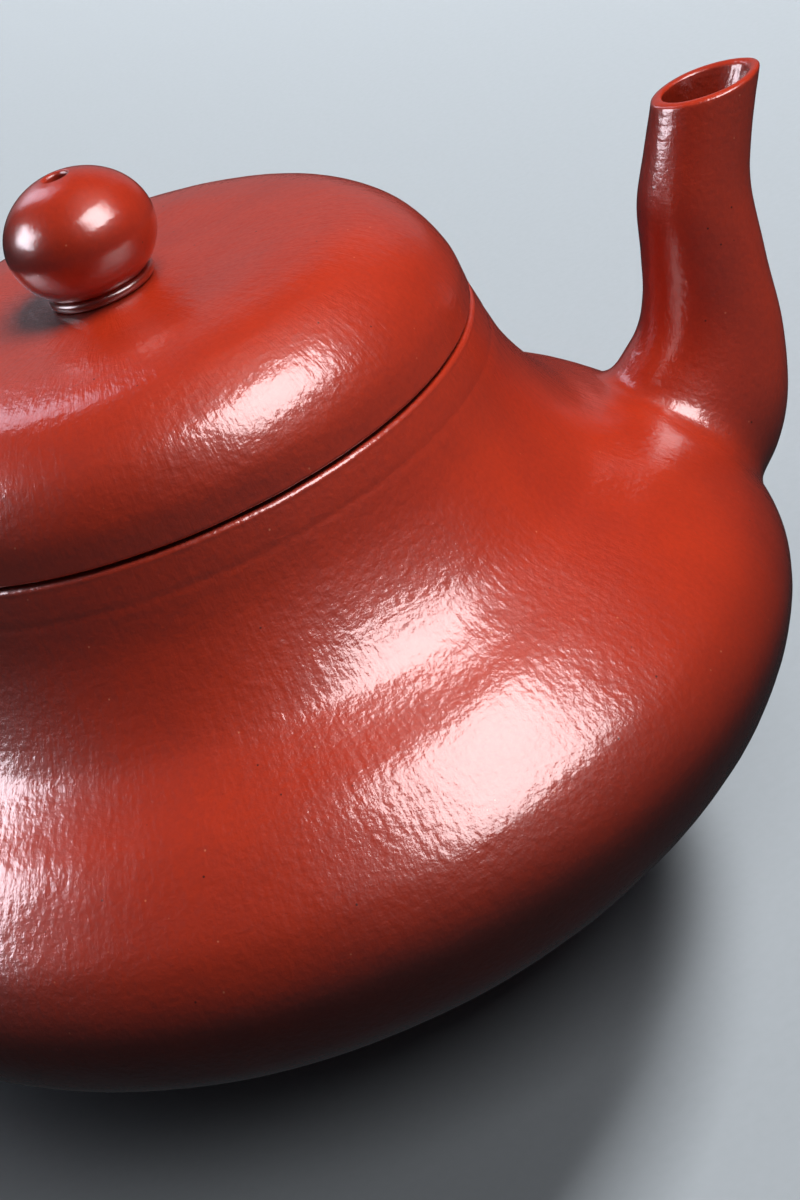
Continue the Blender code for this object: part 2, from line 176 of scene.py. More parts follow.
def clayMaterial(name, finish):
    material = bpy.data.materials.new(name)
    material.use_nodes = True
    tree = material.node_tree
    surface = tree.nodes["Principled BSDF"]
    place = addNode(tree, "ShaderNodeVectorMath",
                    {0: addNode(tree, "ShaderNodeTexCoord").outputs["Object"], "Scale": 1 / mm},
                    operation="SCALE").outputs[0]
    strokes = addNode(tree, "ShaderNodeAttribute", attribute_name="grain").outputs["Vector"]
    cloud = addNode(tree, "ShaderNodeTexNoise",
                    {"Vector": place, "Scale": 1 / clayBody["cloudSize"], "Detail": 5.0, "Roughness": 0.6})
    fleck = addNode(tree, "ShaderNodeTexNoise",
                    {"Vector": place, "Scale": 1 / clayBody["fleckSize"], "Detail": 3.0, "Roughness": 0.7})
    mottle = addNode(tree, "ShaderNodeMath", {0: cloud.outputs["Fac"], 1: fleck.outputs["Fac"]})
    low, high = clayBody["colourRange"]
    share = addNode(tree, "ShaderNodeMapRange",
                    {"Value": mottle.outputs[0], "From Min": low, "From Max": high})
    body = addNode(tree, "ShaderNodeMix",
                   {"Factor": share.outputs[0], "A": hexColour(finish["dark"]),
                    "B": hexColour(finish["light"])}, data_type="RGBA")
    colour = body.outputs["Result"]
    for label, cell, limit, part in sandGrains:
        cells = addNode(tree, "ShaderNodeTexVoronoi", {"Vector": place, "Scale": 1 / cell})
        near = addNode(tree, "ShaderNodeMapRange",
                       {"Value": cells.outputs["Distance"], "From Min": limit, "From Max": limit * 0.5})
        chosen = addNode(tree, "ShaderNodeMath", {0: cells.outputs["Color"], 1: part}, operation="LESS_THAN")
        dot = addNode(tree, "ShaderNodeMath", {0: near.outputs[0], 1: chosen.outputs[0]},
                      operation="MULTIPLY")
        mixed = addNode(tree, "ShaderNodeMix",
                        {"Factor": dot.outputs[0], "A": colour, "B": hexColour(finish[label])},
                        data_type="RGBA")
        colour = mixed.outputs["Result"]
    # painted shade: below these heights the base colour is scaled down, darker towards the bottom, in place of
    # the lower belly's shade
    height = addNode(tree, "ShaderNodeSeparateXYZ", {0: place}).outputs["Z"]
    low, high = clayBody["paintedShadeHeights"]
    tone = addNode(tree, "ShaderNodeMapRange",
                   {"Value": height, "From Min": low, "From Max": high,
                    "To Min": finish["footPaintedShade"], "To Max": 1.0}, interpolation_type="SMOOTHSTEP")
    paintedShadeColour = addNode(tree, "ShaderNodeVectorMath", {0: colour, "Scale": tone.outputs[0]}, operation="SCALE")
    tree.links.new(paintedShadeColour.outputs[0], surface.inputs["Base Color"])
    low, high = clayBody["roughRange"]
    smooth, dull = finish["roughness"]
    rough = addNode(tree, "ShaderNodeMapRange",
                    {"Value": mottle.outputs[0], "From Min": low, "From Max": high,
                     "To Min": dull, "To Max": smooth})
    tree.links.new(rough.outputs[0], surface.inputs["Roughness"])
    total = None
    for source, sizes, rise, detail in grainLayers:
        vector = {"strokes": strokes, "place": place}[source]
        sized = addNode(tree, "ShaderNodeVectorMath", {0: vector, 1: sizes}, operation="DIVIDE")
        noise = addNode(tree, "ShaderNodeTexNoise",
                        {"Vector": sized.outputs[0], "Scale": 1.0, "Detail": detail})
        layer = addNode(tree, "ShaderNodeMath", {0: noise.outputs["Fac"], 1: rise * finish["grain"]},
                        operation="MULTIPLY")
        if total is not None:
            layer = addNode(tree, "ShaderNodeMath", {0: total.outputs[0], 1: layer.outputs[0]})
        total = layer
    bump = addNode(tree, "ShaderNodeBump", {"Height": total.outputs[0], "Strength": 1.0, "Distance": mm})
    tree.links.new(bump.outputs[0], surface.inputs["Normal"])
    tree.links.new(bump.outputs[0], surface.inputs["Coat Normal"])
    surface.inputs["IOR"].default_value = clayBody["clayIor"]
    surface.inputs["Specular IOR Level"].default_value = clayBody["specularLevel"]
    surface.inputs["Metallic"].default_value = 0.0
    surface.inputs["Coat Weight"].default_value = finish["coat"]
    surface.inputs["Coat Roughness"].default_value = finish["coatRoughness"]
    surface.inputs["Coat IOR"].default_value = clayBody["coatIor"]
    return material


clays = {name: clayMaterial(name, finish) for name, finish in clayFinishes.items()}
print("clays mixed:", ", ".join(clays))

# The tool leaves the wall uneven: broad lumps from the paddle, dimples, and shallow strokes.
reliefInputs = {  # sizes and heights in millimetres
    "Lump Size": 10.0, "Lump Height": 0.16,
    "Dimple Size": 3.0, "Dimple Height": 0.06,
    "Stroke Width": 1.4, "Stroke Length": 7.0, "Stroke Height": 0.045,
    "Ring Width": 1.3, "Ring Height": 0.016,
    "Turns": 900, "Seed": 7,
}
reliefLayers = (  # (coordinates, size along each axis, height, detail)
    ("place", ("Lump Size", "Lump Size", "Lump Size"), "Lump Height", 1.0),
    ("place", ("Dimple Size", "Dimple Size", "Dimple Size"), "Dimple Height", 2.0),
    ("strokes", ("Stroke Width", "Stroke Width", "Stroke Length"), "Stroke Height", 2.0),
    ("strokes", ("Stroke Length", "Stroke Length", "Ring Width"), "Ring Height", 2.0),
)
strokeRadius = 50.0  # where a stroke's stated width is true
turningCircle = 10.0  # the profile is drawn this much closer in, then swept round this circle
mergeWithin = 0.0005  # closes the poles
sharpFrom = math.radians(38)  # edges bent further than this shade as edges


def clayTree(name, turned):  # turned: sweep a profile round the axis; either way press the relief in
    tree = bpy.data.node_groups.new(name, "GeometryNodeTree")
    tree.interface.new_socket("Geometry", in_out="INPUT", socket_type="NodeSocketGeometry")
    for label, default in reliefInputs.items():
        kind = "NodeSocketInt" if isinstance(default, int) else "NodeSocketFloat"
        tree.interface.new_socket(label, in_out="INPUT", socket_type=kind).default_value = default
    tree.interface.new_socket("Clay", in_out="INPUT", socket_type="NodeSocketMaterial")
    tree.interface.new_socket("Geometry", in_out="OUTPUT", socket_type="NodeSocketGeometry")
    given = addNode(tree, "NodeGroupInput").outputs
    shape = given["Geometry"]
    position = addNode(tree, "GeometryNodeInputPosition").outputs[0]
    if turned:
        outline = addNode(tree, "GeometryNodeMeshToCurve", {"Mesh": shape})
        circle = addNode(tree, "GeometryNodeCurvePrimitiveCircle",
                         {"Resolution": given["Turns"], "Radius": turningCircle * mm})
        swept = addNode(tree, "GeometryNodeCurveToMesh",
                        {"Curve": circle.outputs[0], "Profile Curve": outline.outputs[0]})
        shape = addNode(tree, "GeometryNodeMergeByDistance",
                        {"Geometry": swept.outputs[0], "Distance": mergeWithin * mm}).outputs[0]
        flat = addNode(tree, "ShaderNodeVectorMath", {0: position, 1: (1, 1, 0)}, operation="MULTIPLY")
        radial = addNode(tree, "ShaderNodeVectorMath", {0: flat.outputs[0]}, operation="NORMALIZE").outputs[0]
        read = {label: addNode(tree, "GeometryNodeInputNamedAttribute", {"Name": label},
                               data_type="FLOAT").outputs[0] for label in ("outR", "outZ", "run")}
        level = addNode(tree, "ShaderNodeVectorMath", {0: radial, "Scale": read["outR"]}, operation="SCALE")
        upright = addNode(tree, "ShaderNodeCombineXYZ", {2: read["outZ"]})
        outward = addNode(tree, "ShaderNodeVectorMath",
                          {0: level.outputs[0], 1: upright.outputs[0]}).outputs[0]
        girth = addNode(tree, "ShaderNodeVectorMath", {0: radial, "Scale": strokeRadius}, operation="SCALE")
        along = addNode(tree, "ShaderNodeCombineXYZ", {2: read["run"]})
        grain = addNode(tree, "ShaderNodeVectorMath", {0: girth.outputs[0], 1: along.outputs[0]}).outputs[0]
        shape = addNode(tree, "GeometryNodeStoreNamedAttribute",
                        {"Geometry": shape, "Name": "grain", "Value": grain},
                        data_type="FLOAT_VECTOR", domain="POINT").outputs[0]
    else:
        outward = addNode(tree, "GeometryNodeInputNormal").outputs[0]
    vectors = {
        "place": addNode(tree, "ShaderNodeVectorMath", {0: position, "Scale": 1 / mm},
                         operation="SCALE").outputs[0],
        "strokes": addNode(tree, "GeometryNodeInputNamedAttribute", {"Name": "grain"},
                           data_type="FLOAT_VECTOR").outputs[0],
    }
    height = None
    for source, sizes, rise, detail in reliefLayers:
        divisor = addNode(tree, "ShaderNodeCombineXYZ", {i: given[size] for i, size in enumerate(sizes)})
        sized = addNode(tree, "ShaderNodeVectorMath", {0: vectors[source], 1: divisor.outputs[0]},
                        operation="DIVIDE")
        noise = addNode(tree, "ShaderNodeTexNoise",
                        {"Vector": sized.outputs[0], "W": given["Seed"], "Scale": 1.0, "Detail": detail},
                        noise_dimensions="4D")
        centred = addNode(tree, "ShaderNodeMath", {0: noise.outputs[0], 1: 0.5}, operation="SUBTRACT")
        layer = addNode(tree, "ShaderNodeMath", {0: centred.outputs[0], 1: given[rise]},
                        operation="MULTIPLY").outputs[0]
        if height is not None:
            layer = addNode(tree, "ShaderNodeMath", {0: height, 1: layer}).outputs[0]
        height = layer
    skin = addNode(tree, "GeometryNodeInputNamedAttribute", {"Name": "skin"}, data_type="FLOAT").outputs[0]
    masked = addNode(tree, "ShaderNodeMath", {0: height, 1: skin}, operation="MULTIPLY")
    metres = addNode(tree, "ShaderNodeMath", {0: masked.outputs[0], 1: mm}, operation="MULTIPLY")
    offset = addNode(tree, "ShaderNodeVectorMath", {0: outward, "Scale": metres.outputs[0]},
                     operation="SCALE")
    pressed = addNode(tree, "GeometryNodeSetPosition", {"Geometry": shape, "Offset": offset.outputs[0]})
    real = addNode(tree, "GeometryNodeRealizeInstances", {"Geometry": pressed.outputs[0]})
    done = addNode(tree, "GeometryNodeSetMaterial", {"Geometry": real.outputs[0], "Material": given["Clay"]})
    addNode(tree, "NodeGroupOutput", {"Geometry": done.outputs[0]})
    return tree


turnedClay = clayTree("turnedClay", True)
shapedClay = clayTree("shapedClay", False)


def newObject(name, mesh):
    obj = bpy.data.objects.new(name, mesh)
    bpy.context.scene.collection.objects.link(obj)
    return obj


def facesOutward(mesh):
    bm = bmesh.new()
    bm.from_mesh(mesh)
    bmesh.ops.recalc_face_normals(bm, faces=bm.faces)
    bm.to_mesh(mesh)
    bm.free()


def asPlainMesh(obj):  # what the modifiers make becomes the object's own mesh
    depsgraph = bpy.context.evaluated_depsgraph_get()
    made = bpy.data.meshes.new_from_object(obj.evaluated_get(depsgraph), preserve_all_data_layers=True,
                                           depsgraph=depsgraph)
    obj.modifiers.clear()
    spare = obj.data
    obj.data = made
    bpy.data.meshes.remove(spare)
    made.name = obj.name
    facesOutward(made)
    made.shade_smooth()
    made.set_sharp_from_angle(angle=sharpFrom)
    return obj


def throughTree(obj, tree, values):
    modifier = obj.modifiers.new(tree.name, "NODES")
    modifier.node_group = tree
    for item in tree.interface.items_tree:
        if item.in_out == "INPUT" and item.name in values:
            modifier[item.identifier] = values[item.name]
    return asPlainMesh(obj)


def dullInside(obj):  # only the outside was rubbed, so the other faces keep the bare clay
    mesh = obj.data
    mesh.materials.append(clays["clayUnburnished"])
    skin = np.empty(len(mesh.vertices), np.float32)
    mesh.attributes["skin"].data.foreach_get("value", skin)
    for face in mesh.polygons:
        face.material_index = int(skin[list(face.vertices)].max() == 0)
    return obj


def skinRows(line, start, stop, grid, seams=(True, True)):  # (radius, height, outR, outZ, run, skin)
    tight = potShape["seamRow"]
    first = start + tight * seams[0]
    last = stop - tight * seams[1]
    runs = np.linspace(first, last, max(3, int((last - first) / grid) + 1))
    runs = np.concatenate([[start] * seams[0], runs, [stop] * seams[1]])
    corners = readAt(line, line, runs)
    out = readAt(line, outwardOf(line), runs)
    return [(*corner, *way, run, 1.0) for corner, way, run in zip(corners, out, runs)]


def plainRows(corners):
    return [(radius, height, 0.0, 0.0, 0.0, 0.0) for radius, height in corners]


def innerRows(line, start, stop, wall, grid):  # the wall's inner side, walked back from stop to start
    runs = np.linspace(stop, start, max(3, int((stop - start) / grid)))
    return plainRows(readAt(line, line - wall * outwardOf(line), runs))


def arcRows(centre, radius, startAngle, stopAngle, count, run=0.0, skin=1.0):
    rows = []
    for angle in np.radians(np.linspace(startAngle, stopAngle, count)):
        way = (math.cos(angle), math.sin(angle))
        rows.append((centre[0] + radius * way[0], centre[1] + radius * way[1], *way, run, skin))
    return rows


def turnedPiece(name, rows, clay, turns, closed=True, **relief):
    rows = rows[::-1]  # the sweep faces outwards when the outer side runs downwards
    mesh = bpy.data.meshes.new(name)
    corners = [((row[0] - turningCircle) * mm, -row[1] * mm, 0.0) for row in rows]
    edges = [(i, i + 1) for i in range(len(corners) - 1)]
    if closed:
        edges.append((len(corners) - 1, 0))
    mesh.from_pydata(corners, edges, [])
    for column, label in enumerate(("outR", "outZ", "run", "skin"), start=2):
        mesh.attributes.new(label, "FLOAT", "POINT").data.foreach_set("value", [row[column] for row in rows])
    values = {"Turns": turns, "Clay": clays[clay], **relief}
    return dullInside(throughTree(newObject(name, mesh), turnedClay, values))


def assign(obj, body, node):
    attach(obj, body)
    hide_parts(node)


wall, grid, innerGrid, turns = (potShape[key] for key in ("wall", "grid", "innerGrid", "turns"))

bellyWall = turnedPiece(
    "bellyWall",
    skinRows(potLine, 0.0, shoulderRun, grid, (False, True))
    + innerRows(potLine, 0.0, shoulderRun, wall, innerGrid),
    "clayBurnished", turns)

shoulderSlab = turnedPiece(
    "shoulderSlab",
    skinRows(potLine, shoulderRun, neckRun, grid)
    + innerRows(potLine, shoulderRun, neckRun, wall, innerGrid),
    "clayBurnished", turns)

neckShape = {"line": 53.6, "lineDepth": 0.05, "lineWidth": 0.35, "grid": 0.24}  # a faint tool line round it


def neckRows():
    rows = skinRows(potLine, neckRun, rimRun, neckShape["grid"])
    lined = []
    for radius, height, outR, outZ, run, skin in rows:
        across = (height - neckShape["line"]) / neckShape["lineWidth"]
        dip = neckShape["lineDepth"] * math.exp(-across ** 2)
        lined.append((radius - dip, height, outR, outZ, run, skin))
    inside = innerRows(potLine, neckRun, rimRun, wall, innerGrid)
    inside[0] = (inside[0][0], potShape["rimFrom"], *inside[0][2:])
    return lined + inside


neckRing = turnedPiece("neckRing", neckRows(), "clayBurnished", turns)

rimShape = {"lipRounding": 0.55, "top": 57.2, "mouthRadius": 27.0, "innerRounding": 0.4, "grid": 0.2}


def rimRows():
    top, lip, inner = rimShape["top"], rimShape["lipRounding"], rimShape["innerRounding"]
    shoulderOfLip = runWhere(potLine, 1, top - lip)
    outside = skinRows(potLine, rimRun, shoulderOfLip, rimShape["grid"], (True, False))
    edge = readAt(potLine, potLine, [shoulderOfLip])[0]
    lipArc = arcRows((edge[0] - lip, top - lip), lip, 8, 90, 9, outside[-1][4])
    mouth = rimShape["mouthRadius"]
    flat = plainRows([(r, top) for r in np.linspace(edge[0] - lip - 0.3, mouth + inner + 0.2, 8)])
    mouthArc = arcRows((mouth + inner, top - inner), inner, 90, 180, 5, 0.0, 0.0)
    return outside + lipArc + flat + mouthArc + plainRows([(mouth, potShape["rimFrom"])])


mouthRim = turnedPiece("mouthRim", rimRows(), "clayBurnished", turns)

footShape = {"outer": 32.0, "inner": 28.4, "rounding": 0.7, "fillet": 0.9, "turns": 540}


def footRows():
    outer, inner, edge, fillet = (footShape[key] for key in ("outer", "inner", "rounding", "fillet"))
    top = potShape["outline"][0][1]
    rows = arcRows((inner + edge, edge), edge, 180, 270, 7, 0.0, 0.0)
    rows += arcRows((outer - edge, edge), edge, 270, 360, 7, 0.0, 0.0)
    rows += [(outer, z, 1.0, 0.0, z, 1.0) for z in np.linspace(edge + 0.3, top - fillet - 0.2, 6)]
    rows += plainRows([(outer + fillet - fillet * math.cos(a), top - fillet + fillet * math.sin(a))
                       for a in np.radians(np.linspace(0, 80, 7))])
    return rows + plainRows([(inner, top), (inner, edge + 0.6)])


footRing = turnedPiece("footRing", footRows(), "clayBurnished", footShape["turns"])

# the underside is pressed up a little at its middle
baseShape = {"radius": 32.6, "low": 3.6, "hollow": 0.35, "hollowRadius": 28.0, "turns": 360}


def baseRows():
    innerCorner = readAt(potLine, potLine - wall * potOut, [0.0])[0]
    hollowRadius = baseShape["hollowRadius"]
    under = []
    for r in np.linspace(0.0, baseShape["radius"], 60):
        rise = baseShape["hollow"] * math.cos(r / hollowRadius * math.pi / 2) * (r < hollowRadius)
        under.append((r, baseShape["low"] + rise, 0.0, -1.0, r, 1.0))
    floor = [(r, innerCorner[1], 0.0, 1.0, r, 1.0) for r in np.linspace(innerCorner[0] - 0.02, 0.0, 50)]
    return under + floor


baseSlab = turnedPiece("baseSlab", baseRows(), "clayUnburnished", baseShape["turns"], closed=False,
                       **{"Ring Height": 0.05})

lidGrid, lidTurns = lidShape["grid"], lidShape["turns"]
plateRun = runWhere(lidLine, 1, lidShape["plateTop"])


def lidPlateRows():
    edge, inner = lidShape["edgeRounding"], lidShape["flangeInner"]
    bottom = lidShape["outline"][0][1]
    start = runWhere(lidLine, 1, bottom + edge)
    side = readAt(lidLine, lidLine, [start])[0]
    under = plainRows([(r, bottom) for r in np.linspace(inner, side[0] - edge - 0.2, 8)])
    edgeArc = arcRows((side[0] - edge, bottom + edge), edge, 270, 356, 7)
    outside = skinRows(lidLine, start, plateRun, lidShape["edgeGrid"], (False, True))
    return under + edgeArc + outside + plainRows([(inner, lidShape["plateTop"])])


lidSeed = 11  # plate and dome share it, so their skin runs on over the joint
lidPlate = turnedPiece("lidPlate", lidPlateRows(), "clayBurnished", lidTurns, Seed=lidSeed)

ventRadius = 1.15
domeStop = runWhere(lidLine, 0, ventRadius)


def lidDomeRows():
    inside = innerRows(lidLine, plateRun, domeStop, wall, lidShape["innerGrid"])
    inside[0] = (ventRadius, *inside[0][1:])
    inside[-1] = (inside[-1][0], lidShape["plateTop"], *inside[-1][2:])
    return skinRows(lidLine, plateRun, domeStop, lidGrid, (True, False)) + inside


lidDome = turnedPiece("lidDome", lidDomeRows(), "clayBurnished", lidTurns, Seed=lidSeed)


def lidFlangeRows():
    outer, inner, low = lidShape["flangeOuter"], lidShape["flangeInner"], lidShape["flangeBottom"]
    top = lidShape["outline"][0][1]
    edge = lidShape["flangeRounding"]
    rows = arcRows((inner + edge, low + edge), edge, 180, 270, 6, 0.0, 0.0)
    rows += arcRows((outer - edge, low + edge), edge, 270, 360, 6, 0.0, 0.0)
    rows += [(outer, z, 1.0, 0.0, z, 1.0) for z in np.linspace(low + edge + 0.3, top, 18)]
    rows += [(inner, z, -1.0, 0.0, z, 1.0) for z in np.linspace(top, low + edge + 0.3, 18)]
    return rows


lidFlange = turnedPiece("lidFlange", lidFlangeRows(), "clayUnburnished", lidShape["flangeTurns"],
                        **{"Ring Height": 0.04, "Lump Height": 0.05})

# a ball down to the angle neckStart from its top, on a thin bead of clay set beadInset further in
knobShape = {"radius": 7.46, "halfHeight": 6.25, "centre": 75.7, "ventFlare": 1.5, "ventDepth": 0.4,
             "neckStart": 2.42, "beadInset": 0.05, "boreBelow": 0.4, "rows": 90, "turns": 480}


def hermite(start, startWay, stop, stopWay, count):
    start, startWay, stop, stopWay = (np.array(v, float) for v in (start, startWay, stop, stopWay))
    t = np.linspace(0.0, 1.0, count)[:, None]
    return ((2 * t ** 3 - 3 * t ** 2 + 1) * start + (t ** 3 - 2 * t ** 2 + t) * startWay
            + (3 * t ** 2 - 2 * t ** 3) * stop + (t ** 3 - t ** 2) * stopWay)


def knobRows():
    radius, tall, centre = knobShape["radius"], knobShape["halfHeight"], knobShape["centre"]
    dish = lidShape["outline"][-1][1]
    ventAngle = math.asin(knobShape["ventFlare"] / radius)
    ball = np.array([(radius * math.sin(a), centre + tall * math.cos(a))
                     for a in np.linspace(knobShape["neckStart"], ventAngle, knobShape["rows"])])
    collar = (ball[0][0] - knobShape["beadInset"], (dish + ball[0][1]) / 2)
    bead = (ball[0][1] - dish) / 2
    foot = np.array([(collar[0] + bead * math.cos(a), collar[1] + bead * math.sin(a))
                     for a in np.radians(np.linspace(-80, 75, 16))])
    ventEnd = (ventRadius, ball[-1][1] - knobShape["ventDepth"])
    vent = hermite(ball[-1], (-0.5, 0.05), ventEnd, (0.0, -0.6), 12)[1:]
    line = np.vstack([foot, ball, vent])
    out = outwardOf(line)
    runs = runOf(line)
    rows = [(*corner, *way, run, 1.0) for corner, way, run in zip(line, out, runs)]
    low = dish - knobShape["boreBelow"]
    bore = plainRows([(ventRadius, z) for z in np.linspace(line[-1][1] - 0.6, low, 12)])
    return rows + bore + plainRows([(foot[0][0] - 0.1, low)])


knobBall = turnedPiece("knobBall", knobRows(), "clayPolished", knobShape["turns"],
                       **{"Lump Height": 0.06, "Dimple Height": 0.012, "Stroke Height": 0.004,
                          "Ring Height": 0.004})


def heightAbove(points):  # how far points stand off the pot's skin, and the skin's normals there
    radius = np.hypot(points[:, 0], points[:, 1])
    flat = np.column_stack([radius, points[:, 2]])
    nearest = np.linalg.norm(flat[:, None, :] - potLine[None, :, :], axis=2).argmin(axis=1)
    way = potOut[nearest]
    height = ((flat - potLine[nearest]) * way).sum(axis=1)
    level = points[:, :2] / radius[:, None]
    return height, np.column_stack([level * way[:, :1], way[:, 1]])


# how a line is led onto the pot: it ends this far under the skin, its last point goes down and back out of
# sight, its way is read over a short step, and its two ends pull the curve this strongly
landing = {"sink": 0.015, "bury": 1.0, "back": 0.4, "step": 0.2, "pulls": (1.1, 1.4)}


def landed(line, away, lift, flare, rows, landRows):  # the line is cut short at lift and spreads by flare
    height, _ = heightAbove(line)
    runs = runOf(line)
    cut = np.nonzero(height < lift)[0][0]
    root = np.nonzero(height < 0.0)[0][0]
    cutRun = np.interp(-lift, [-height[cut - 1], -height[cut]], [runs[cut - 1], runs[cut]])
    rootRun = np.interp(0.0, [-height[root - 1], -height[root]], [runs[root - 1], runs[root]])
    free = readAt(line, line, np.linspace(0.0, cutRun, rows))
    ahead = readAt(line, line, [cutRun, cutRun + landing["step"]])
    touch = readAt(line, line, [rootRun])
    _, normal = heightAbove(touch)
    side = away - (away @ normal[0]) * normal[0]
    side /= np.linalg.norm(side)
    stop = touch + flare * side
    over, normal = heightAbove(stop)
    stop = stop[0] - (over[0] + landing["sink"]) * normal[0]
    side -= (side @ normal[0]) * normal[0]
    side /= np.linalg.norm(side)
    pull = np.linalg.norm(stop - free[-1])
    leave = (ahead[1] - ahead[0]) / landing["step"]
    first, last = landing["pulls"]
    curve = hermite(free[-1], leave * pull * first, stop, side * pull * last, landRows)
    buried = stop - landing["bury"] * normal[0] - landing["back"] * side
    return np.vstack([free, curve[1:], [buried]])


def loftedPiece(name, rings, skins, runs, clay, closedLoop, girth, **relief):  # a tube through the rings
    count, sides = rings.shape[:2]
    mesh = bpy.data.meshes.new(name)
    faces = []
    for i in range(count if closedLoop else count - 1):
        low, high = i * sides, (i + 1) % count * sides
        faces += [(low + j, low + (j + 1) % sides, high + (j + 1) % sides, high + j) for j in range(sides)]
    if not closedLoop:
        faces += [tuple(range(sides)), tuple(range((count - 1) * sides, count * sides))]
    mesh.from_pydata([tuple(p * mm) for p in rings.reshape(-1, 3)], [], faces)
    turn = np.tile(np.linspace(0, 2 * math.pi, sides, endpoint=False), count)
    grain = np.column_stack([girth * np.cos(turn), girth * np.sin(turn), np.repeat(runs, sides)])
    grain = grain.astype(np.float32).ravel()
    skin = np.repeat(skins, sides).astype(np.float32)
    mesh.attributes.new("grain", "FLOAT_VECTOR", "POINT").data.foreach_set("vector", grain)
    mesh.attributes.new("skin", "FLOAT", "POINT").data.foreach_set("value", skin)
    facesOutward(mesh)
    return dullInside(throughTree(newObject(name, mesh), shapedClay, {"Clay": clays[clay], **relief}))


spoutShape = {
    # (top side's x and z, underside's x and z, half width) from inside the pot to the mouth
    "stations": ((41.0, 32.0, 52.0, 17.5, 9.5), (46.2, 37.4, 58.2, 21.3, 9.0),
                 (49.8, 40.6, 62.3, 26.9, 8.0), (51.5, 44.0, 64.5, 35.0, 6.9),
                 (52.7, 48.6, 65.0, 44.0, 6.3), (53.9, 53.8, 65.6, 52.0, 5.8),
                 (56.2, 58.6, 67.4, 57.2, 5.3), (58.4, 63.2, 70.3, 63.2, 5.0)),
    "wallAtBase": 2.6, "wallAtMouth": 1.2, "boreFrom": 0.36,  # share of the length where the bore starts
    "tipPinch": 0.16, "pinchFrom": 0.55, "pinchOver": 0.45,  # the lip narrows over the last part
    "holeHeight": 32.0, "holeRadius": 5.0, "drillDepths": (6.0, -3.0),
    "lift": (2.4, 4.4, 4.0), "flare": (1.8, 3.4, 2.8),  # fillet at the top side, the flanks and the underside
    "girth": 7.0, "sides": 144, "rows": 110, "landRows": 22,
}
spoutLine = smoothLine(spoutShape["stations"])
spoutLength = runOf(spoutLine)[-1]
sideTurns = np.linspace(0, 2 * math.pi, spoutShape["sides"], endpoint=False)


def spoutRing(run, inset):  # ring of the spout at a distance from its buried end
    topX, topZ, underX, underZ, half = readAt(spoutLine, spoutLine, [run])[0]
    top, under = np.array([topX, 0.0, topZ]), np.array([underX, 0.0, underZ])
    reach = (under - top) / 2
    reach *= 1 - inset / np.linalg.norm(reach)
    pinched = (run / spoutLength - spoutShape["pinchFrom"]) / spoutShape["pinchOver"]
    nearMouth = np.clip(pinched, 0, 1) ** 2
    pinch = 1 - spoutShape["tipPinch"] * nearMouth * np.clip(np.cos(sideTurns), 0, 1) ** 2
    ring = (top + under) / 2 + np.outer(np.cos(sideTurns), reach)
    ring[:, 1] += (half - inset) * np.sin(sideTurns) * pinch
    return ring


def holeCircle(radius, depth):
    run = runWhere(potLine, 1, spoutShape["holeHeight"])
    centre, out = readAt(potLine, potLine, [run])[0], readAt(potLine, potOut, [run])[0]
    centre = centre - depth * out
    down = np.array([out[1], 0.0, -out[0]])
    ring = np.array([centre[0], 0.0, centre[1]]) + np.outer(np.cos(sideTurns), down) * radius
    ring[:, 1] += radius * np.sin(sideTurns)
    return ring, np.array([centre[0], 0.0, centre[1]]), np.array([out[0], 0.0, out[1]])


def makeSpout():
    lip = spoutShape["wallAtMouth"] / 2
    mouthRun = spoutLength - lip
    outerRuns = np.linspace(mouthRun, 0.0, 300)
    dense = np.array([spoutRing(run, 0.0) for run in outerRuns])
    middle = dense.mean(axis=1)
    lines = []
    for j in range(spoutShape["sides"]):
        line = dense[:, j]
        root = np.nonzero(heightAbove(line)[0] < 0)[0][0]
        away = line[root] - middle[root]
        lift, flare = (np.interp(math.cos(sideTurns[j]), [-1, 0, 1], spoutShape[key])
                       for key in ("lift", "flare"))
        lines.append(landed(line, away / np.linalg.norm(away), lift, flare, spoutShape["rows"],
                            spoutShape["landRows"]))
    outside = np.array(lines).transpose(1, 0, 2)
    lipRings = [spoutRing(mouthRun + lip * math.sin(a), lip * (1 - math.cos(a)))
                for a in np.linspace(math.pi, 0, 11)[:-1]]
    boreStart = spoutLength * spoutShape["boreFrom"]
    boreRuns = np.linspace(boreStart, mouthRun, 40)[:-1]
    walls = np.interp(boreRuns, [boreStart, mouthRun],
                      [spoutShape["wallAtBase"], spoutShape["wallAtMouth"]])
    bore = [spoutRing(run, inset) for run, inset in zip(boreRuns, walls)]
    mouthHole = [holeCircle(spoutShape["holeRadius"] + 0.02, depth)[0] for depth in (0.9, 0.0)]
    neck = [mouthHole[1] * (1 - t) + bore[0] * t for t in (0.25, 0.5, 0.75)]
    rings = np.array(mouthHole + neck + bore + lipRings + list(outside))
    steps = runOf(rings[:, 0])
    hidden = len(mouthHole) + len(neck) + len(bore) - 4
    skins = np.ones(len(rings))
    skins[:hidden] = 0.0
    skins[hidden:hidden + 10] = 0.25  # less relief round the lip
    return loftedPiece("spoutTube", rings, skins, steps, "clayBurnished", True, spoutShape["girth"],
                       **{"Stroke Height": 0.015, "Ring Height": 0.008})


spoutTube = makeSpout()


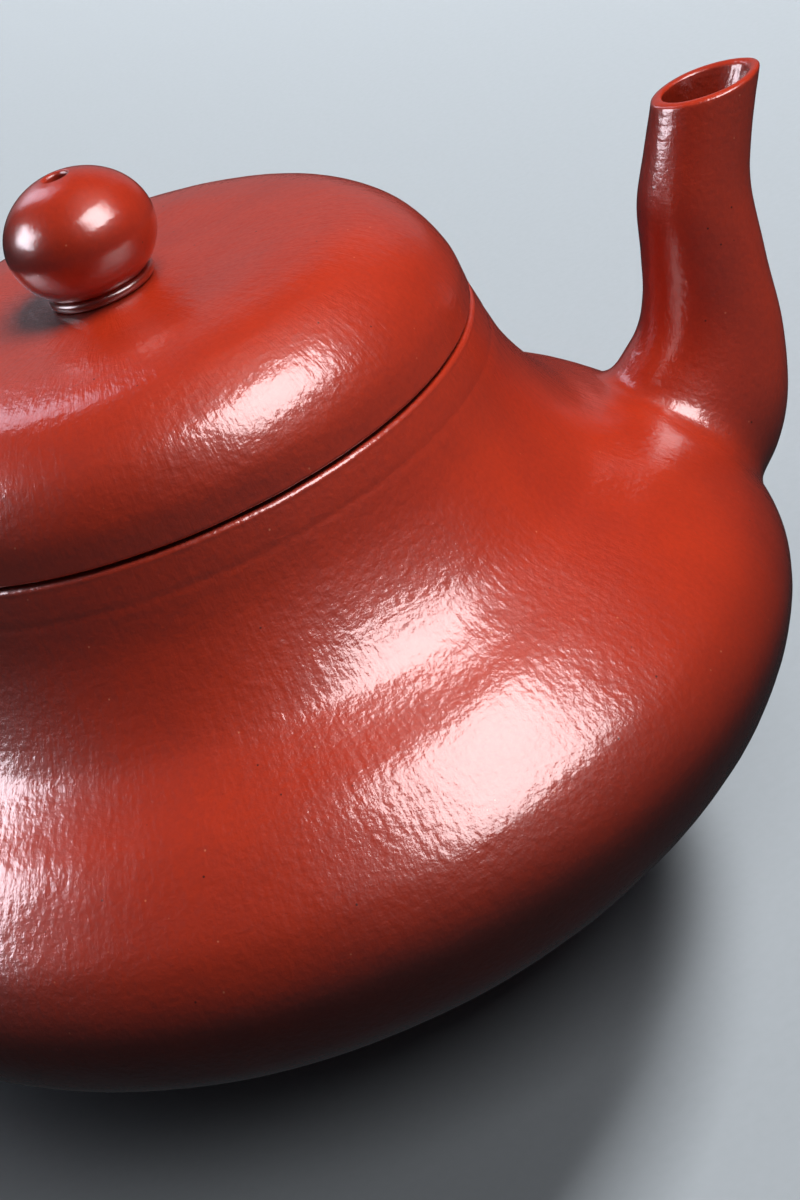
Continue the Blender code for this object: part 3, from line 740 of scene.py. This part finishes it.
def cutSpoutHole():  # the shoulder is pierced where the spout stands
    low, high = (holeCircle(spoutShape["holeRadius"], depth)[0] for depth in spoutShape["drillDepths"])
    sides = len(low)
    mesh = bpy.data.meshes.new("holeCutter")
    faces = [(j, (j + 1) % sides, sides + (j + 1) % sides, sides + j) for j in range(sides)]
    faces += [tuple(range(sides)), tuple(range(sides, 2 * sides))]
    mesh.from_pydata([tuple(p * mm) for p in np.vstack([low, high])], [], faces)
    facesOutward(mesh)
    cutter = newObject("holeCutter", mesh)
    piercing = shoulderSlab.modifiers.new("spoutHole", "BOOLEAN")
    piercing.operation = "DIFFERENCE"
    piercing.solver = "MANIFOLD"
    piercing.object = cutter
    asPlainMesh(shoulderSlab)
    bpy.data.objects.remove(cutter)


cutSpoutHole()
print("spout fitted, shoulder pierced:", len(shoulderSlab.data.polygons), "faces")

handleShape = {
    # (x, z, half thickness, half width) from inside the shoulder, over and down into the belly
    "stations": ((-40.0, 24.0, 4.6, 5.2), (-41.0, 31.0, 4.6, 5.2), (-43.6, 39.5, 4.2, 4.9),
                 (-48.0, 47.8, 3.8, 4.6), (-56.5, 52.6, 3.6, 4.4), (-64.0, 48.6, 3.6, 4.3),
                 (-66.55, 40.0, 3.6, 4.2), (-64.8, 30.5, 3.6, 4.2), (-59.8, 22.6, 3.8, 4.4),
                 (-51.0, 17.6, 4.4, 5.0), (-43.0, 16.6, 4.4, 5.0)),
    "lift": 2.6, "flare": 2.2, "girth": 4.2, "sides": 112, "rows": 130, "landRows": 18,
}


def makeHandle():
    lift, flare, rows, landRows = (handleShape[key] for key in ("lift", "flare", "rows", "landRows"))
    line = smoothLine(handleShape["stations"])
    turnsRound = np.linspace(0, 2 * math.pi, handleShape["sides"], endpoint=False)
    runs = np.linspace(0, runOf(line)[-1], 420)
    stations = readAt(line, line, runs)
    along = np.gradient(stations[:, :2], axis=0)
    along /= np.linalg.norm(along, axis=1)[:, None]
    rings = []
    for (x, z, thick, wide), (dx, dz) in zip(stations, along):
        ring = np.array([x, 0.0, z]) + np.outer(np.cos(turnsRound), [dz * thick, 0.0, -dx * thick])
        ring[:, 1] += wide * np.sin(turnsRound)
        rings.append(ring)
    dense = np.array(rings)
    middle = len(dense) // 2
    halves = []
    for half in (dense[middle::-1], dense[middle:]):
        centres = half.mean(axis=1)
        lines = []
        for j in range(handleShape["sides"]):
            root = np.nonzero(heightAbove(half[:, j])[0] < 0)[0][0]
            away = half[root, j] - centres[root]
            lines.append(landed(half[:, j], away / np.linalg.norm(away), lift, flare, rows, landRows))
        halves.append(np.array(lines).transpose(1, 0, 2))
    whole = np.vstack([halves[0][::-1], halves[1][1:]])
    return loftedPiece("earHandle", whole, np.ones(len(whole)), runOf(whole[:, 0]), "clayBurnished", False,
                       handleShape["girth"], **{"Stroke Height": 0.02, "Ring Height": 0.01})


earHandle = makeHandle()
print("handle fitted")

strainerShape = {
    "radius": 6.9, "thickness": 1.3, "skirt": 1.0, "turns": 96,
    "holeRadius": 0.85, "drillDepth": 4.0,
    "rows": ((27.0, 6), (54.0, 12)),  # (degrees from the crown, holes), with one hole at the crown
}


def strainerTree():  # drills set on rows round the crown, cut from the ball, and the ball put in its place
    tree = bpy.data.node_groups.new("piercedBall", "GeometryNodeTree")
    tree.interface.new_socket("Geometry", in_out="INPUT", socket_type="NodeSocketGeometry")
    for label, key in (("Ball Radius", "radius"), ("Hole Radius", "holeRadius")):
        socket = tree.interface.new_socket(label, in_out="INPUT", socket_type="NodeSocketFloat")
        socket.default_value = strainerShape[key]
    for label, kind in (("Place", "Vector"), ("Turn", "Vector"), ("Clay", "Material")):
        tree.interface.new_socket(label, in_out="INPUT", socket_type="NodeSocket" + kind)
    tree.interface.new_socket("Geometry", in_out="OUTPUT", socket_type="NodeSocketGeometry")
    given = addNode(tree, "NodeGroupInput").outputs
    radius, hole = (addNode(tree, "ShaderNodeMath", {0: given[label], 1: mm},
                            operation="MULTIPLY").outputs[0] for label in ("Ball Radius", "Hole Radius"))
    drill = addNode(tree, "GeometryNodeMeshCylinder",
                    {"Vertices": 20, "Radius": hole, "Depth": strainerShape["drillDepth"] * mm})
    points = addNode(tree, "GeometryNodeJoinGeometry")
    crown = addNode(tree, "ShaderNodeCombineXYZ", {2: radius})
    one = addNode(tree, "GeometryNodePoints", {"Count": 1, "Position": crown.outputs[0]})
    tree.links.new(one.outputs[0], points.inputs[0])
    for degrees, count in strainerShape["rows"]:
        lean = math.radians(degrees)
        rowRadius = addNode(tree, "ShaderNodeMath", {0: radius, 1: math.sin(lean)}, operation="MULTIPLY")
        rowHeight = addNode(tree, "ShaderNodeMath", {0: radius, 1: math.cos(lean)}, operation="MULTIPLY")
        raised = addNode(tree, "ShaderNodeCombineXYZ", {2: rowHeight.outputs[0]})
        ring = addNode(tree, "GeometryNodeMeshCircle", {"Vertices": count, "Radius": rowRadius.outputs[0]})
        moved = addNode(tree, "GeometryNodeTransform",
                        {"Geometry": ring.outputs[0], "Translation": raised.outputs[0]})
        asPoints = addNode(tree, "GeometryNodeMeshToPoints", {"Mesh": moved.outputs[0]})
        tree.links.new(asPoints.outputs[0], points.inputs[0])
    facing = addNode(tree, "FunctionNodeAlignRotationToVector",
                     {"Vector": addNode(tree, "GeometryNodeInputPosition").outputs[0]})
    drills = addNode(tree, "GeometryNodeInstanceOnPoints",
                     {"Points": points.outputs[0], "Instance": drill.outputs[0],
                      "Rotation": facing.outputs[0]})
    cutters = addNode(tree, "GeometryNodeRealizeInstances", {"Geometry": drills.outputs[0]})
    pierced = addNode(tree, "GeometryNodeMeshBoolean",
                      {"Mesh 1": given["Geometry"], "Mesh 2": cutters.outputs[0]},
                      operation="DIFFERENCE", solver="EXACT")
    placed = addNode(tree, "GeometryNodeTransform",
                     {"Geometry": pierced.outputs[0], "Translation": given["Place"], "Rotation": given["Turn"]})
    real = addNode(tree, "GeometryNodeRealizeInstances", {"Geometry": placed.outputs[0]})
    done = addNode(tree, "GeometryNodeSetMaterial", {"Geometry": real.outputs[0], "Material": given["Clay"]})
    addNode(tree, "NodeGroupOutput", {"Geometry": done.outputs[0]})
    return tree


def makeStrainer():
    radius, hollow = strainerShape["radius"], strainerShape["radius"] - strainerShape["thickness"]
    quarter = np.linspace(0, math.pi / 2, 24)
    rows = plainRows([(hollow * math.sin(a), hollow * math.cos(a)) for a in quarter])
    rows += plainRows([(hollow, -strainerShape["skirt"]), (radius, -strainerShape["skirt"])])
    rows += plainRows([(radius * math.sin(a), radius * math.cos(a)) for a in quarter[::-1]])
    ball = turnedPiece("spoutStrainer", rows, "clayUnburnished", strainerShape["turns"], closed=False)
    _, seat, out = holeCircle(spoutShape["holeRadius"], wall)
    turn = Vector(-out).to_track_quat("Z", "Y").to_euler()
    return throughTree(ball, strainerTree(), {"Place": Vector(seat) * mm, "Turn": Vector(turn),
                                              "Clay": clays["clayUnburnished"]})


spoutStrainer = makeStrainer()
print("strainer pierced:", len(spoutStrainer.data.polygons), "faces")

for obj, body, node, slot in (
        (baseSlab, "pot", "base_slab", "clay_unburnished"),
        (footRing, "pot", "foot_ring", "clay_burnished"),
        (bellyWall, "pot", "belly_wall", "clay_burnished"),
        (shoulderSlab, "pot", "shoulder_slab", "clay_burnished"),
        (neckRing, "pot", "neck_ring", "clay_burnished"),
        (mouthRim, "pot", "mouth_rim", "clay_burnished"),
        (spoutTube, "pot", "spout", "clay_burnished"),
        (spoutStrainer, "pot", "spout_strainer", "clay_unburnished"),
        (earHandle, "pot", "handle", "clay_burnished"),
        (lidPlate, "lid", "lid_plate", "clay_burnished"),
        (lidDome, "lid", "lid_dome", "clay_burnished"),
        (lidFlange, "lid", "lid_flange", "clay_unburnished"),
        (knobBall, "lid", "knob", "clay_polished")):
    assign(obj, body, node)

stageShape = {"front": -3000.0, "bend": 700.0, "bendRadius": 500.0, "wallTop": 1500.0, "halfWidth": 2600.0}


def makeStage():
    line = [(stageShape["front"], 0.0), (0.0, 0.0), (stageShape["bend"], 0.0)]
    line += [(stageShape["bend"] + stageShape["bendRadius"] * math.sin(a),
              stageShape["bendRadius"] * (1 - math.cos(a))) for a in np.linspace(0.05, math.pi / 2, 24)]
    line.append((stageShape["bend"] + stageShape["bendRadius"], stageShape["wallTop"]))
    mesh = bpy.data.meshes.new("paperSweep")
    wide = stageShape["halfWidth"]
    corners = [(x * mm, y * mm, z * mm) for y, z in line for x in (-wide, wide)]
    mesh.from_pydata(corners, [], [(2 * i, 2 * i + 1, 2 * i + 3, 2 * i + 2) for i in range(len(line) - 1)])
    mesh.shade_smooth()
    sweep = newObject("paperSweep", mesh)
    material = bpy.data.materials.new("mattePaper")
    material.use_nodes = True
    tree = material.node_tree
    surface = tree.nodes["Principled BSDF"]
    place = addNode(tree, "ShaderNodeTexCoord").outputs["Object"]
    fibre = addNode(tree, "ShaderNodeTexNoise", {"Vector": place, "Scale": 900.0, "Detail": 4.0})
    tone = addNode(tree, "ShaderNodeMix", {"Factor": fibre.outputs["Fac"], "A": hexColour("#c7cfd5"),
                                           "B": hexColour("#ced5dc")}, data_type="RGBA")
    tree.links.new(tone.outputs["Result"], surface.inputs["Base Color"])
    surface.inputs["Roughness"].default_value = 0.9
    surface.inputs["Specular IOR Level"].default_value = 0.1
    mesh.materials.append(material)
    sweep.visible_glossy = False  # the room round the paper is dark, so little of it shows in the clay
    return sweep


paperSweep = makeStage()
lightCentre = Vector((0.0, 0.0, 45.0)) * mm
# direction to the light, distance and sides in mm, radiance, colour, whether it lights the paper
studioLights = {
    "mainSoftbox": ((0.435, -0.557, 0.707), 420.0, (265.0, 235.0), 8.2, "#fff4f6", False),
    "sideSoftbox": ((-0.824, 0.236, 0.515), 480.0, (260.0, 195.0), 8.5, "#fbf4ff", False),
    "backStrip": ((-0.19, 0.72, 0.67), 600.0, (150.0, 400.0), 1.8, "#efeaff", False),
    "paperPanel": ((0.71, 0.51, 0.48), 1700.0, (476.0, 340.0), 56.0, "#ffffff", True),
    "paperFill": ((0.1, -0.5, 0.87), 1200.0, (900.0, 900.0), 0.7, "#ffffff", True),
    "overhead": ((0.42, -0.10, 0.90), 700.0, (420.0, 420.0), 12.0, "#fff4ee", False),
    "backPaper": ((0.25, 0.93, 0.28), 1200.0, (1500.0, 800.0), 0.12, "#f0f4ff", False),
}
# these only shine in the skin, and the others only give the clay and the paper their body light
shineOnly = ("mainSoftbox", "sideSoftbox", "backStrip", "backPaper")


def addLights():
    reach = {}
    for onPaper, state in ((True, "INCLUDE"), (False, "EXCLUDE")):  # the paper has its own light
        reach[onPaper] = bpy.data.collections.new("paper" + state.title())
        reach[onPaper].objects.link(paperSweep)
        reach[onPaper].collection_objects[0].light_linking.link_state = state
    for name, (way, distance, (wide, tall), radiance, colour, onPaper) in studioLights.items():
        light = bpy.data.lights.new(name, "AREA")
        light.shape = "RECTANGLE"
        light.size, light.size_y = wide * mm, tall * mm
        light.energy = radiance * 4 * light.size * light.size_y
        light.color = hexColour(colour)[:3]
        lamp = newObject(name, light)
        way = Vector(way).normalized()
        lamp.location = lightCentre + way * distance * mm
        lamp.rotation_euler = way.to_track_quat("Z", "Y").to_euler()
        lamp.light_linking.receiver_collection = reach[onPaper]
        lamp.visible_diffuse = name not in shineOnly
        lamp.visible_glossy = name in shineOnly
    world = bpy.data.worlds.new("dimRoom")
    bpy.context.scene.world = world
    world.use_nodes = True
    background = world.node_tree.nodes["Background"]
    background.inputs["Color"].default_value = hexColour("#dfe4f0")
    background.inputs["Strength"].default_value = 0.03


addLights()

cameraShape = {"location": (-18.958, -216.693, 143.372), "forward": (0.137988, 0.869226, -0.474769),
               "roll": 21.862, "lens": 70.558}


def addCamera():
    camera = bpy.data.cameras.new("camera")
    camera.lens = cameraShape["lens"]
    camera.clip_start, camera.clip_end = 0.01, 10.0
    seat = newObject("camera", camera)
    seat.location = Vector(cameraShape["location"]) * mm
    forward = Vector(cameraShape["forward"]).normalized()
    level = (-forward).to_track_quat("Z", "Y")
    seat.rotation_mode = "QUATERNION"
    seat.rotation_quaternion = Quaternion(forward, math.radians(cameraShape["roll"])) @ level
    bpy.context.scene.camera = seat


addCamera()
bpy.context.scene.view_settings.view_transform = "Standard"
print("stage, lights and camera set")
